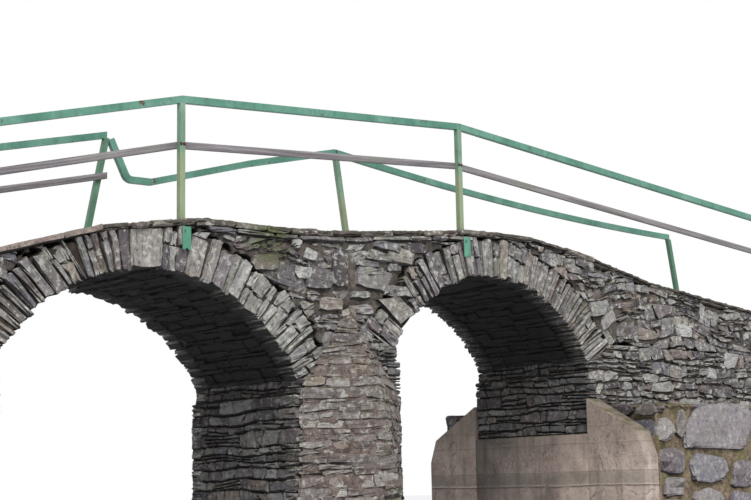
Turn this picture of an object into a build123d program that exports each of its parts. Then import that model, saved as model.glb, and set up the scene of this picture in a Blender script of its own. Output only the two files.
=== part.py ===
from build123d import *
from collections import namedtuple
from itertools import cycle
from math import asin, cos, degrees, radians, sin, sqrt
import os

# Two-arch rubble footbridge with steel railings, in millimetres.
# +X runs along the bridge to the right, +Y away from the near face, +Z up.
# The origin is the middle of the pier's underside.

# Body of the bridge: each face is a skin of laid stone over a rubble core
width = 1600
face_thickness = 260
pier_width = 1110
left_approach = 1990
right_approach = 3880

# Arches, which are arcs of a circle: half span, rise and crown height of each
left_half_span = 1360
left_rise = 829
left_crown_z = 2020
right_half_span = 1250
right_rise = 746
right_crown_z = 2250
ring_thickness = 400

# Slabs of the rings, as widths along the intrados that repeat round the arch
left_ring_slabs = (96, 58, 44, 118, 52, 72, 36, 84, 48)
right_ring_slabs = (64, 84, 42, 72, 54, 36, 46, 30, 58)
barrel_slabs = (74, 46, 92, 56, 38)
slab_lift = (0, 14, 5, 20, 9)
slab_shortfall = (0, 70, 25, 95, 45)
slab_recess = (0, 6, 12)
slab_cover = 60
joint_width = 8
joint_depth = 22

# Springing ledges
ledge_step = 40
ledge_drop = 107

# Coping and path
coping_width = 235
coping_thickness = 60
coping_overhang = 15
path_recess = 10

# Cutwaters
cutwater_reach = 720
cutwater_cap_reach = 430
cutwater_cap_z = 1120
cutwater_top_z = 1870

# Concrete facing of the right jamb and its wing walls
concrete_thickness = 200
concrete_proud = 20
concrete_top_z = 790
wing_reach = 720
wing_root_z = 1140
wing_tip_z = 800
wing_nose_z = 560
wing_nose_length = 90

# Retaining walls beside the right approach
bank_top_z = 1080

# Railings: square posts, box-section top rails and flat timber mid rails
post_side = 50
post_inset = 85
post_embed = 300
tube_wall = 3
top_rail_height = 60
top_rail_width = 50
mid_rail_height = 60
mid_rail_width = 30
mid_rail_drop = 376
mid_rail_gap = 6
foot_plate_width = 80
foot_plate_height = 190
foot_plate_thickness = 8
foot_plate_drop = 15
rail_bend_radius = 70
far_rail_sag = 75
far_mid_rail_stop = 10

face = width / 2
post_y = face - post_inset
left_arch_x = -pier_width / 2 - left_half_span
right_arch_x = pier_width / 2 + right_half_span
left_jamb_x = left_arch_x - left_half_span
right_jamb_x = right_arch_x + right_half_span
left_end_x = left_jamb_x - left_approach
right_end_x = right_jamb_x + right_approach

Arch = namedtuple("Arch", "x z radius half_span")


def segmental_arch(x, crown_z, half_span, rise):
    radius = (half_span**2 + rise**2) / (2 * rise)
    return Arch(x, crown_z - radius, radius, half_span)


left_arch = segmental_arch(left_arch_x, left_crown_z, left_half_span, left_rise)
right_arch = segmental_arch(right_arch_x, right_crown_z, right_half_span, right_rise)

# Top of the coping along the bridge, as (x, z), from the crowns it passes over
deck_line = [
    (left_end_x, left_crown_z - 430),
    (left_jamb_x, left_crown_z + 70),
    (left_arch_x - 490, left_crown_z + 335),
    (left_arch_x + 410, left_crown_z + 480),
    (left_arch_x + 1310, left_crown_z + 480),
    (-85, (left_crown_z + right_crown_z) / 2 + 395),
    (right_arch_x - 450, right_crown_z + 430),
    (right_arch_x + 70, right_crown_z + 455),
    (right_arch_x + 500, right_crown_z + 450),
    (right_jamb_x - 50, right_crown_z + 368),
    (right_jamb_x + 1020, right_crown_z + 145),
    (right_end_x, right_crown_z - 170),
]

# Near posts, as (x, height of the rail's top edge over the coping)
near_post_plan = [
    (left_end_x + 500, 961),
    (left_arch_x + 250, 1026),
    (right_arch_x - 368, 1037),
    (right_end_x - 400, 1145),
]

# Far posts, as (foot x, lean of the top along x, height of the top)
far_post_plan = [
    (left_end_x + 500, 0, 940),
    (left_arch_x + 160, 200, 980),
    (right_arch_x - 580, -150, 963),
    (right_end_x - 430, -210, 1133),
]

# Middle line of the bent rail, as offsets from the post tops that it joins
bent_from_left_post = [(45, 0), (220, -350), (470, -345), (1570, -30)]
bent_from_right_post = (-10, 34)


def height_on(line, x):
    """Height of a line of (x, z) points at x, carried on past its ends."""
    for (x0, z0), (x1, z1) in zip(line, line[1:]):
        if x <= x1:
            break
    return z0 + (z1 - z0) * (x - x0) / (x1 - x0)


def lowered(line, drop):
    return [(x, z - drop) for x, z in line]


def plane_at(y):
    """Upright plane along the bridge at y, which extrudes toward the near side."""
    return Plane.XZ.offset(-y)


def save(part, name):
    part.label = name
    export_step(part, f"parts/{name}.step")


def draw_polygon(points, mode=Mode.ADD):
    """Closed straight-sided outline, added to the sketch that is open."""
    corners = [point for point, following in zip(points, points[1:]) if point != following]
    with BuildLine() as outline:
        Polyline(*corners, points[-1], close=True)
    make_face(outline.edges(), mode=mode)


masonry_top = lowered(deck_line, coping_thickness)
near_rail_line = [(x, height_on(deck_line, x) + height) for x, height in near_post_plan]
far_post_tops = []
for x, lean, height in far_post_plan:
    far_post_tops.append((x + lean, height_on(deck_line, x) + height))
far_rail_ends = [(x, z + top_rail_height) for x, z in far_post_tops]


# Arch geometry


def half_angle(arch):
    """Angle in degrees from the crown to the springing."""
    return degrees(asin(arch.half_span / arch.radius))


def springing_z(arch):
    return arch.z + sqrt(arch.radius**2 - arch.half_span**2)


def polar(arch, radius, angle):
    """Point at a radius and an angle in degrees from +X about the arch's centre."""
    return (arch.x + radius * cos(radians(angle)), arch.z + radius * sin(radians(angle)))


def skewback(arch, side):
    """Outer end of the sloping seat of the ring; side is -1 left, 1 right."""
    return polar(arch, arch.radius + ring_thickness, 90 - side * half_angle(arch))


def slab_angles(arch, widths):
    """Angles of the joints from the left springing to the right one."""
    sweep = 2 * half_angle(arch)
    arc_length = radians(sweep) * arch.radius
    marks = [0]
    for slab_width in cycle(widths):
        if marks[-1] + min(widths) > arc_length:
            break
        marks.append(marks[-1] + slab_width)
    return [90 + sweep / 2 - mark * sweep / marks[-1] for mark in marks]


def ring_slabs(arch, widths):
    """Each slab of a face ring as (first angle, last angle, inner, outer radius)."""
    angles = slab_angles(arch, widths)
    slabs = []
    for number, (first, last) in enumerate(zip(angles, angles[1:])):
        inner = arch.radius + slab_lift[number % len(slab_lift)]
        outer = arch.radius + ring_thickness
        x, z = polar(arch, outer, (first + last) / 2)
        is_springer = number == 0 or number == len(angles) - 2
        if not is_springer and height_on(masonry_top, x) - z > slab_cover:
            outer -= slab_shortfall[number % len(slab_shortfall)]
        slabs.append((first, last, inner, outer))
    return slabs


def draw_ring(arch, slabs, mode=Mode.ADD):
    """Whole face ring, with the stepped ends of its slabs above and below."""
    upper = []
    lower = []
    for first, last, inner, outer in slabs:
        upper += [polar(arch, outer, first), polar(arch, outer, last)]
        lower += [polar(arch, inner, first), polar(arch, inner, last)]
    draw_polygon(upper + lower[::-1], mode)


def cut_above_masonry():
    """Cuts off what would rise into the coping and the path."""
    sky_z = 2 * max(z for _, z in deck_line)
    draw_polygon([(left_end_x, sky_z), *masonry_top, (right_end_x, sky_z)], Mode.SUBTRACT)


# Outlines of the supports, seen from the side


def draw_left_abutment(mode=Mode.ADD):
    skew_x, skew_z = skewback(left_arch, -1)
    ledge_z = springing_z(left_arch) - ledge_drop
    outline = [
        (left_end_x, 0),
        (left_jamb_x + ledge_step, 0),
        (left_jamb_x + ledge_step, ledge_z),
        (left_jamb_x, ledge_z),
        (left_jamb_x, springing_z(left_arch)),
        (skew_x, skew_z),
        (left_end_x, skew_z),
    ]
    draw_polygon(outline, mode)


def draw_right_abutment(mode=Mode.ADD):
    skew_x, skew_z = skewback(right_arch, 1)
    ledge_z = springing_z(right_arch) - ledge_drop
    outline = [
        (right_jamb_x - ledge_step, 0),
        (right_end_x, 0),
        (right_end_x, skew_z),
        (skew_x, skew_z),
        (right_jamb_x, springing_z(right_arch)),
        (right_jamb_x, ledge_z),
        (right_jamb_x - ledge_step, ledge_z),
    ]
    draw_polygon(outline, mode)


def draw_pier(mode=Mode.ADD):
    left_x = -pier_width / 2
    right_x = pier_width / 2
    left_ledge_z = springing_z(left_arch) - ledge_drop
    right_ledge_z = springing_z(right_arch) - ledge_drop
    outline = [
        (left_x - ledge_step, 0),
        (right_x + ledge_step, 0),
        (right_x + ledge_step, right_ledge_z),
        (right_x, right_ledge_z),
        (right_x, springing_z(right_arch)),
        skewback(right_arch, -1),
        skewback(left_arch, 1),
        (left_x, springing_z(left_arch)),
        (left_x, left_ledge_z),
        (left_x - ledge_step, left_ledge_z),
    ]
    draw_polygon(outline, mode)


concrete_x = right_jamb_x - ledge_step - concrete_proud


def draw_concrete(mode=Mode.ADD):
    outline = [
        (concrete_x, 0),
        (concrete_x + concrete_thickness, 0),
        (concrete_x + concrete_thickness, concrete_top_z),
        (concrete_x, concrete_top_z),
    ]
    draw_polygon(outline, mode)


def draw_haunch(x_from, x_to):
    """All the masonry between two places, less the supports and the waterways."""
    crest = [point for point in masonry_top if x_from < point[0] < x_to]
    outline = [
        (x_from, 0),
        (x_to, 0),
        (x_to, height_on(masonry_top, x_to)),
        *reversed(crest),
        (x_from, height_on(masonry_top, x_from)),
    ]
    draw_polygon(outline)
    draw_left_abutment(Mode.SUBTRACT)
    draw_pier(Mode.SUBTRACT)
    draw_right_abutment(Mode.SUBTRACT)
    for arch in (left_arch, right_arch):
        with Locations((arch.x, springing_z(arch) / 2)):
            Rectangle(2 * arch.half_span, springing_z(arch), mode=Mode.SUBTRACT)


os.makedirs("parts", exist_ok=True)

rings = {
    "left": (left_arch, ring_slabs(left_arch, left_ring_slabs)),
    "right": (right_arch, ring_slabs(right_arch, right_ring_slabs)),
}
haunches = {
    "left": (left_end_x, left_arch_x),
    "centre": (left_arch_x, right_arch_x),
    "right": (right_arch_x, right_end_x),
}


# Railings: each tube is a solid block less a smaller one


def save_tube(outer, inner, name):
    with BuildPart() as tube:
        add(outer)
        add(inner, mode=Mode.SUBTRACT)
    save(tube.part, name)


def bar_outline(start, end, height):
    """Straight bar seen from the side, upright at both ends, below start and end."""
    return [start, end, (end[0], end[1] - height), (start[0], start[1] - height)]


def straight_rail(start, end, y, wall):
    """Top rail between two points of its top edge, less a wall all round."""
    with BuildPart() as rail:
        with BuildSketch(plane_at(y + top_rail_width / 2 - wall)):
            draw_polygon(bar_outline(*lowered([start, end], wall), top_rail_height - 2 * wall))
        extrude(amount=top_rail_width - 2 * wall)
    return rail.part


def bent_rail(wall):
    """Far middle rail, torn off its left post and bent down beside it."""
    left_x, left_z = far_post_tops[1]
    right_x, right_z = far_post_tops[2]
    middle_line = [(left_x + dx, left_z + dz) for dx, dz in bent_from_left_post]
    middle_line.append((right_x + bent_from_right_post[0], right_z + bent_from_right_post[1]))
    with BuildPart() as rail:
        with BuildSketch(plane_at(post_y + top_rail_width / 2 - wall)):
            with BuildLine():
                FilletPolyline(*middle_line, radius=rail_bend_radius)
            trace(line_width=top_rail_height - 2 * wall)
        extrude(amount=top_rail_width - 2 * wall)
    return rail.part


def sagging_rail(wall):
    """Far right rail, which hangs in a shallow arc between two leaning posts."""
    start, end = far_rail_ends[2:]
    middle = ((start[0] + end[0]) / 2, (start[1] + end[1]) / 2 - far_rail_sag)
    with BuildPart() as rail:
        with BuildSketch(plane_at(post_y + top_rail_width / 2 - wall)):
            with BuildLine():
                upper = ThreePointArc(*lowered([start, middle, end], wall))
                lower = ThreePointArc(*lowered([start, middle, end], top_rail_height - wall))
                Line(upper @ 0, lower @ 0)
                Line(upper @ 1, lower @ 1)
            make_face()
        extrude(amount=top_rail_width - 2 * wall)
    return rail.part


for bay, start, end in zip(haunches, near_rail_line, near_rail_line[1:]):
    outer, inner = [straight_rail(start, end, -post_y, wall) for wall in (0, tube_wall)]
    save_tube(outer, inner, f"near_{bay}_top_rail")

far_left_rail = straight_rail(*far_rail_ends[:2], post_y, 0)
far_rails = (far_left_rail, bent_rail(0), sagging_rail(0))
save_tube(far_left_rail, straight_rail(*far_rail_ends[:2], post_y, tube_wall), "far_left_top_rail")
save_tube(far_rails[1], bent_rail(tube_wall), "far_bent_top_rail")
save_tube(far_rails[2], sagging_rail(tube_wall), "far_right_top_rail")


def near_post(x, half):
    """Upright post from its foot in the masonry up to the rail that it carries."""
    foot_z = height_on(deck_line, x) - post_embed
    under_rail = lowered(near_rail_line, top_rail_height)
    outline = [
        (x - half, foot_z),
        (x + half, foot_z),
        (x + half, height_on(under_rail, x + half)),
        (x, height_on(under_rail, x)),
        (x - half, height_on(under_rail, x - half)),
    ]
    with BuildPart() as post:
        with BuildSketch(plane_at(half - post_y)):
            draw_polygon(outline)
        extrude(amount=2 * half)
    return post.part


def far_post(x, lean, height, half):
    """Leaning post, cut to fit under and beside the rails that it carries."""
    deck_z = height_on(deck_line, x)
    root_x = x - lean * post_embed / height
    outline = [
        (root_x - half, deck_z - post_embed),
        (root_x + half, deck_z - post_embed),
        (x + lean + half, deck_z + height),
        (x + lean - half, deck_z + height),
    ]
    with BuildPart() as post:
        with BuildSketch(plane_at(post_y + half)):
            draw_polygon(outline)
        extrude(amount=2 * half)
        for rail in far_rails:
            add(rail, mode=Mode.SUBTRACT)
    return post.part


outer_half = post_side / 2
inner_half = post_side / 2 - tube_wall
near_feet = [near_post(x, outer_half) for x, _ in near_post_plan]
far_feet = [far_post(*plan, outer_half) for plan in far_post_plan]
for number, (foot, (x, _)) in enumerate(zip(near_feet, near_post_plan), start=1):
    save_tube(foot, near_post(x, inner_half), f"near_post_{number}")
for number, (foot, plan) in enumerate(zip(far_feet, far_post_plan), start=1):
    save_tube(foot, far_post(*plan, inner_half), f"far_post_{number}")

# Near mid rails, bolted behind the posts, with a small gap where two meet
near_mid_line = lowered(near_rail_line, mid_rail_drop)
with BuildPart() as near_mid_rails:
    for (x0, _), (x1, _) in zip(near_mid_line, near_mid_line[1:]):
        with BuildSketch(plane_at(post_side / 2 - post_y + mid_rail_width)):
            x_from = x0 + mid_rail_gap / 2
            x_to = x1 - mid_rail_gap / 2
            start = (x_from, height_on(near_mid_line, x_from))
            end = (x_to, height_on(near_mid_line, x_to))
            draw_polygon(bar_outline(start, end, mid_rail_height))
        extrude(amount=mid_rail_width)
save(near_mid_rails.part, "near_mid_rails")

# The one far mid rail that is left, on the walkway side of its posts
with BuildPart() as far_left_mid_rail:
    far_mid_line = lowered(far_rail_ends[:2], mid_rail_drop)
    stop_x = far_mid_line[1][0] - far_mid_rail_stop
    with BuildSketch(plane_at(post_y - post_side / 2)):
        stop = (stop_x, height_on(far_mid_line, stop_x))
        draw_polygon(bar_outline(far_mid_line[0], stop, mid_rail_height))
    extrude(amount=mid_rail_width)
save(far_left_mid_rail.part, "far_left_mid_rail")


# Masonry

sides = (("near", -1, near_feet), ("far", 1, far_feet))


def cut_post_pockets():
    """Takes the feet of all the posts out of the part that is open."""
    for foot in near_feet + far_feet:
        add(foot, mode=Mode.SUBTRACT)


def back_plane(sign, near_y, far_y):
    """Plane at whichever of two distances from the middle is further along +Y."""
    return plane_at(max(sign * near_y, sign * far_y))


with BuildPart() as left_abutment:
    with BuildSketch(plane_at(face)):
        draw_left_abutment()
    extrude(amount=width)
    cut_post_pockets()
save(left_abutment.part, "left_abutment")

with BuildPart() as right_abutment:
    with BuildSketch(plane_at(face)):
        draw_right_abutment()
        draw_concrete(Mode.SUBTRACT)
    extrude(amount=width)
    cut_post_pockets()
save(right_abutment.part, "right_abutment")

with BuildPart() as centre_pier:
    with BuildSketch(plane_at(face)):
        draw_pier()
    extrude(amount=width)
save(centre_pier.part, "centre_pier")

# Barrels between the face rings, with the slabs' edges stepped underneath
for name, (arch, _) in rings.items():
    with BuildPart() as vault:
        with BuildSketch(plane_at(face - face_thickness)):
            angles = slab_angles(arch, barrel_slabs)
            steps = []
            for number, (first, last) in enumerate(zip(angles, angles[1:])):
                inner = arch.radius + slab_lift[number % len(slab_lift)]
                steps += [polar(arch, inner, first), polar(arch, inner, last)]
            with BuildLine():
                outer = arch.radius + ring_thickness
                start_angle = angles[-1]
                back = CenterArc((arch.x, arch.z), outer, start_angle, angles[0] - start_angle)
                Polyline(back @ 1, *steps, back @ 0)
            make_face()
            cut_above_masonry()
        extrude(amount=width - 2 * face_thickness)
    save(vault.part, f"{name}_vault")

# Face rings: a bed of mortar with the slabs standing out of it
for side, sign, feet in sides:
    for hand, (arch, slabs) in rings.items():
        with BuildPart() as ring:
            bed_y = face - joint_depth
            with BuildSketch(back_plane(sign, face - face_thickness, bed_y)):
                draw_ring(arch, slabs)
                cut_above_masonry()
            extrude(amount=face_thickness - joint_depth)
            for group, recess in enumerate(slab_recess):
                with BuildSketch(back_plane(sign, bed_y, face - recess)):
                    for first, last, _, _ in slabs[group :: len(slab_recess)]:
                        gap = degrees(joint_width / 2 / arch.radius)
                        wedge = [
                            polar(arch, arch.radius / 2, first - gap),
                            polar(arch, arch.radius * 2, first - gap),
                            polar(arch, arch.radius * 2, last + gap),
                            polar(arch, arch.radius / 2, last + gap),
                        ]
                        draw_polygon(wedge)
                    draw_ring(arch, slabs, Mode.INTERSECT)
                    cut_above_masonry()
                extrude(amount=joint_depth - recess)
            for foot in feet:
                add(foot, mode=Mode.SUBTRACT)
        save(ring.part, f"{side}_{hand}_arch_ring")

# Spandrel walls on both faces and the rubble between them
for side, sign, feet in sides:
    for place, (x_from, x_to) in haunches.items():
        with BuildPart() as spandrel:
            with BuildSketch(back_plane(sign, face, face - face_thickness)):
                draw_haunch(x_from, x_to)
                for arch, slabs in rings.values():
                    with Locations((arch.x, arch.z)):
                        Circle(arch.radius + ring_thickness / 2, mode=Mode.SUBTRACT)
                    draw_ring(arch, slabs, Mode.SUBTRACT)
            extrude(amount=face_thickness)
            for foot in feet:
                add(foot, mode=Mode.SUBTRACT)
        save(spandrel.part, f"{side}_{place}_spandrel")

with BuildPart() as rubble_fill:
    core_half = face - face_thickness
    for x_from, x_to in haunches.values():
        with BuildSketch(plane_at(core_half)):
            draw_haunch(x_from, x_to)
            for arch in (left_arch, right_arch):
                with Locations((arch.x, arch.z)):
                    Circle(arch.radius + ring_thickness, mode=Mode.SUBTRACT)
        extrude(amount=2 * core_half)
save(rubble_fill.part, "rubble_fill")

# Coping on both edges and the earth path between
path_half = face + coping_overhang - coping_width
for side, sign, feet in sides:
    with BuildPart() as coping:
        with BuildSketch(back_plane(sign, path_half, face + coping_overhang)):
            draw_polygon(deck_line + masonry_top[::-1])
        extrude(amount=coping_width)
        for foot in feet:
            add(foot, mode=Mode.SUBTRACT)
    save(coping.part, f"{side}_coping")

with BuildPart() as deck_path:
    with BuildSketch(plane_at(path_half)):
        draw_polygon(lowered(deck_line, path_recess) + masonry_top[::-1])
    extrude(amount=2 * path_half)
save(deck_path.part, "deck_path")

# Cutwaters: a battered wedge with a pyramid cap that dies into the wall
cap_half = pier_width / 2
for side, sign, _ in sides:
    wall_y = sign * face
    with BuildPart() as cutwater:
        with BuildSketch(Plane.XY):
            foot_half = cap_half + ledge_step
            nose_y = wall_y + sign * cutwater_reach
            draw_polygon([(-foot_half, wall_y), (foot_half, wall_y), (0, nose_y)])
        with BuildSketch(Plane.XY.offset(cutwater_cap_z)) as cap_base:
            nose_y = wall_y + sign * cutwater_cap_reach
            draw_polygon([(-cap_half, wall_y), (cap_half, wall_y), (0, nose_y)])
        loft(ruled=True)
        cap_tip = Vertex(0, wall_y, cutwater_top_z)
        loft([cap_base.sketch.faces()[0], cap_tip], ruled=True)
    save(cutwater.part, f"{side}_cutwater")

# Concrete facing under the right arch, its wing walls, and the banks behind them
with BuildPart() as concrete_facing:
    with BuildSketch(plane_at(face)):
        draw_concrete()
    extrude(amount=width)
save(concrete_facing.part, "concrete_facing")

for side, sign, _ in sides:
    with BuildPart() as wing_wall:
        with BuildSketch(Plane.YZ.offset(concrete_x)):
            nose_y = sign * (face + wing_reach)
            outline = [
                (sign * face, 0),
                (sign * face, wing_root_z),
                (nose_y - sign * wing_nose_length, wing_tip_z),
                (nose_y, wing_nose_z),
                (nose_y, 0),
            ]
            draw_polygon(outline)
        extrude(amount=concrete_thickness)
    save(wing_wall.part, f"{side}_wing_wall")

    with BuildPart() as retaining_wall:
        with BuildSketch(back_plane(sign, face, face + wing_reach)):
            outline = [
                (concrete_x + concrete_thickness, 0),
                (right_end_x, 0),
                (right_end_x, bank_top_z),
                (concrete_x + concrete_thickness, bank_top_z),
            ]
            draw_polygon(outline)
        extrude(amount=wing_reach)
    save(retaining_wall.part, f"{side}_retaining_wall")

# Foot plates on both faces, under the coping at each post
near_plate_x = [x for x, _ in near_post_plan]
far_plate_x = [x for x, _, _ in far_post_plan]
for side, sign, plate_x in (("near", -1, near_plate_x), ("far", 1, far_plate_x)):
    with BuildPart() as foot_plates:
        for x in plate_x:
            top_z = height_on(masonry_top, x) - foot_plate_drop
            with BuildSketch(back_plane(sign, face, face + foot_plate_thickness)):
                with Locations((x, top_z - foot_plate_height / 2)):
                    Rectangle(foot_plate_width, foot_plate_height)
            extrude(amount=foot_plate_thickness)
    save(foot_plates.part, f"{side}_foot_plates")
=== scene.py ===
import math

import bpy
import numpy as np
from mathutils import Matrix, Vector

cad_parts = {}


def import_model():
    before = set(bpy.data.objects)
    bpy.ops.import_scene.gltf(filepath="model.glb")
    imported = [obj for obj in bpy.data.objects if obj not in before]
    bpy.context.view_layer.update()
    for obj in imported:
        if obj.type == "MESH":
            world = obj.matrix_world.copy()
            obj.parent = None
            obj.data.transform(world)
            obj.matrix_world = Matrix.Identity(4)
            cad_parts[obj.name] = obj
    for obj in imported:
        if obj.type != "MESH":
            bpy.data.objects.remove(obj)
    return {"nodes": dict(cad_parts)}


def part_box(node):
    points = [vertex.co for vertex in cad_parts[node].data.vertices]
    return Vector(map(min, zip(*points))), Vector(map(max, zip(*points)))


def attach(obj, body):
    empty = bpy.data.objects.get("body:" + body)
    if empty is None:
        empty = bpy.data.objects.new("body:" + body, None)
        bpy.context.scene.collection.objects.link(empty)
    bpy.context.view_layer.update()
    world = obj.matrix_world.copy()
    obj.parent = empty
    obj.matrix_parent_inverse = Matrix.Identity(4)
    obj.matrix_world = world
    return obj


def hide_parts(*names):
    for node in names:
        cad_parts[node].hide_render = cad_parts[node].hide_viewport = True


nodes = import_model()["nodes"]
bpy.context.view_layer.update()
bpy.ops.object.select_all(action="DESELECT")


# Mortar bed. All the masonry is split stone bedded in lime and earth mortar, which has
# weathered back between the stones. Each masonry node's own shape is remeshed and worn
# back by a rough texture to make the bed that its stones are then laid into.


def select_only(*pieces):
    bpy.ops.object.select_all(action="DESELECT")
    for piece in pieces:
        piece.select_set(True)
    bpy.context.view_layer.objects.active = pieces[0]


def join(*pieces):
    select_only(*pieces)
    bpy.ops.object.join()
    return pieces[0]


def open_mesh(piece):
    """Opens a piece in edit mode with all of its mesh selected."""
    select_only(piece)
    bpy.ops.object.mode_set(mode="EDIT")
    bpy.ops.mesh.select_all(action="SELECT")


def close_mesh():
    bpy.ops.object.mode_set(mode="OBJECT")


def apply_modifier(piece, name, kind, **settings):
    modifier = piece.modifiers.new(name, kind)
    for key, value in settings.items():
        setattr(modifier, key, value)
    bpy.ops.object.modifier_apply(modifier=modifier.name)


def copy_of(node, name):
    """A free copy of a node's shape, with its loose triangles merged."""
    piece = nodes[node].copy()
    piece.data = nodes[node].data.copy()
    piece.name = name
    piece.parent = None
    for key in list(piece.keys()):
        del piece[key]
    piece.data.materials.clear()
    bpy.context.scene.collection.objects.link(piece)
    open_mesh(piece)
    bpy.ops.mesh.remove_doubles(threshold=0.0002)
    close_mesh()
    return piece


fine_wear = bpy.data.textures.new("mortar_wear", "CLOUDS")
fine_wear.noise_scale = 0.07
fine_wear.noise_depth = 3


def mortar_bed(node, cell, depth, level, held):
    """The node's shape in mortar, worn back except at the points that are held."""
    bed = copy_of(node, node + "_stones")
    apply_modifier(bed, "even_cells", "REMESH", mode="VOXEL", voxel_size=cell)
    weathered = bed.vertex_groups.new(name="weathered")
    free = [point.index for point in bed.data.vertices if not (held and held(point.co))]
    weathered.add(free, 1.0, "REPLACE")
    bpy.ops.object.shade_smooth()
    wear = dict(vertex_group=weathered.name, texture=fine_wear, texture_coords="LOCAL")
    apply_modifier(bed, "worn_back", "DISPLACE", **wear, mid_level=level, strength=depth)
    return bed


# Stones. The bridge is built of flat-bedded schist, split into blocks and slabs with
# square but uneven ends. One block is modelled, and copies of it are cut to the
# slots that each wall leaves for them, every copy with its own chips and its own tone.


def points_of(piece):
    return np.array([point.co for point in piece.data.vertices])


def take_pattern(piece):
    """Points and faces of a shaped stone, which is then put away."""
    points = points_of(piece)
    faces = [tuple(face.vertices) for face in piece.data.polygons]
    bpy.data.objects.remove(piece)
    return points, faces


bpy.ops.mesh.primitive_cube_add(size=2)
block = bpy.context.object
open_mesh(block)
bpy.ops.mesh.bevel(offset=0.25, segments=1, affect="EDGES")
for cut, across in ((-0.3, (1, 0, 0)), (0.35, (1, 0, 0)), (0.1, (0, 1, 0))):
    bpy.ops.mesh.select_all(action="SELECT")
    bpy.ops.mesh.bisect(plane_co=[cut * part for part in across], plane_no=across)
close_mesh()
block_points, block_faces = take_pattern(block)
full_turn = 6.3


def knock_off_corners(across, rng, amount):
    """Trims square stones, given by points from -1 to 1, to uneven six sided ones."""
    count = len(across)
    sides = 6
    facing = np.arange(sides) * 2 * math.pi / sides + rng.uniform(-0.35, 0.35, (count, sides))
    facing += rng.uniform(0, full_turn, (count, 1))
    reach = rng.uniform(0.88, 1.12, (count, sides))
    angle = np.arctan2(across[..., 1], across[..., 0])
    toward = np.cos(angle[:, :, None] - facing[:, None, :])
    edge = (reach[:, None, :] / np.maximum(toward, 0.25)).min(axis=2)
    edge *= abs(across).max(axis=2)
    trimmed = np.stack([np.cos(angle) * edge, np.sin(angle) * edge], axis=-1)
    share = rng.uniform(0.3, 1, (count, 1, 1)) * amount
    return across + (np.clip(trimmed, -1, 1) - across) * share


def spans_of(slots):
    """Edges of the slots along u, along v and along their depth."""
    return [slots.take(1, axis) - slots.take(0, axis) for axis in (1, 2, 3)]


def cut_to_slots(slots, rng, arris, chip, rubble=0.0):
    """Points of the block fitted into slots, an array of corners [n, u, v, depth, xyz]."""
    lengths = [np.linalg.norm(span, axis=-1).mean(axis=(1, 2)) for span in spans_of(slots)]
    lengths = np.stack(lengths, axis=1)
    size = (len(slots), len(block_points))
    share = np.empty((*size, 3))
    inner = 0.75
    for axis in range(3):
        along = block_points[:, axis]
        rounding = np.minimum(arris / lengths[:, axis], 0.3)[:, None]
        near_low = rounding * (along + 1) / (1 - inner)
        middle = rounding + (1 - 2 * rounding) * (along + inner) / (2 * inner)
        near_high = 1 - rounding * (1 - along) / (1 - inner)
        share[:, :, axis] = np.where(along < -inner, near_low, np.where(along > inner, near_high, middle))
        reach = np.minimum(chip, 0.14 * lengths[:, axis])[:, None]
        share[:, :, axis] += rng.uniform(-1, 1, size) * reach / lengths[:, axis, None]
    share[:, :, 2] = np.minimum(share[:, :, 2], 1)
    if rubble:
        share[:, :, :2] = knock_off_corners(2 * share[:, :, :2] - 1, rng, rubble) / 2 + 0.5
    points = np.zeros((*size, 3))
    for corner in np.ndindex(2, 2, 2):
        weight = np.ones(size)
        for axis, high in enumerate(corner):
            weight = weight * (share[:, :, axis] if high else 1 - share[:, :, axis])
        points += weight[:, :, None] * slots[(slice(None), *corner)][:, None, :]
    return points, share * lengths[:, None, :]


def add_object(name, data):
    piece = bpy.data.objects.new(name, data)
    bpy.context.scene.collection.objects.link(piece)
    return piece


def store(mesh, name, values):
    """Keeps a number for every point of a mesh, for its finish to read."""
    attribute = mesh.attributes.get(name) or mesh.attributes.new(name, "FLOAT", "POINT")
    attribute.data.foreach_set("value", np.asarray(values, dtype=float).ravel())


def stone_mesh(points, grain, rng, grain_axis=0, pattern=block_faces):
    """One mesh of all the stones, with a tone for each and the bedding along its grain."""
    stones, corners, _ = points.shape
    faces = []
    for first in range(0, stones * corners, corners):
        faces += [[first + corner for corner in face] for face in pattern]
    mesh = bpy.data.meshes.new("stones")
    mesh.from_pydata(points.reshape(-1, 3).tolist(), [], faces)
    for attribute in ("tone", "shade"):
        store(mesh, attribute, np.repeat(rng.uniform(0, 1, stones), corners))
    offset = rng.uniform(0, 50, (stones, 1, 2))
    along = grain[:, :, grain_axis] + offset[:, :, 0]
    across = grain[:, :, 1 - grain_axis] + offset[:, :, 1]
    flat = np.stack([along, across], axis=-1).reshape(-1, 2)
    loop_points = np.empty(len(mesh.loops), dtype=np.int32)
    mesh.loops.foreach_get("vertex_index", loop_points)
    mesh.uv_layers.new(name="bedding").data.foreach_set("uv", flat[loop_points].ravel())
    return add_object("stones", mesh)


def slot_corners(quads, front, back, at):
    """Corner array for quads of (u, v) set between a back and a front depth."""
    slots = np.empty((len(quads), 2, 2, 2, 3))
    for number, quad in enumerate(quads):
        for (i, j), (u, v) in zip(((0, 0), (1, 0), (1, 1), (0, 1)), quad):
            slots[number, i, j] = at(u, v, back[number]), at(u, v, front[number])
    return slots


def with_joints(quads, joint, rng):
    """Draws each quad in from its neighbours by about half a joint on every side."""
    shrunk = []
    for quad in quads:
        corners = np.array(quad)
        middle = corners.mean(axis=0)
        span = np.maximum(np.ptp(corners, axis=0), 0.02)
        factor = np.clip(1 - joint * rng.uniform(0.5, 1.6) / span, 0.4, 1)
        shrunk.append([tuple(corner) for corner in middle + (corners - middle) * factor])
    return shrunk


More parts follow.
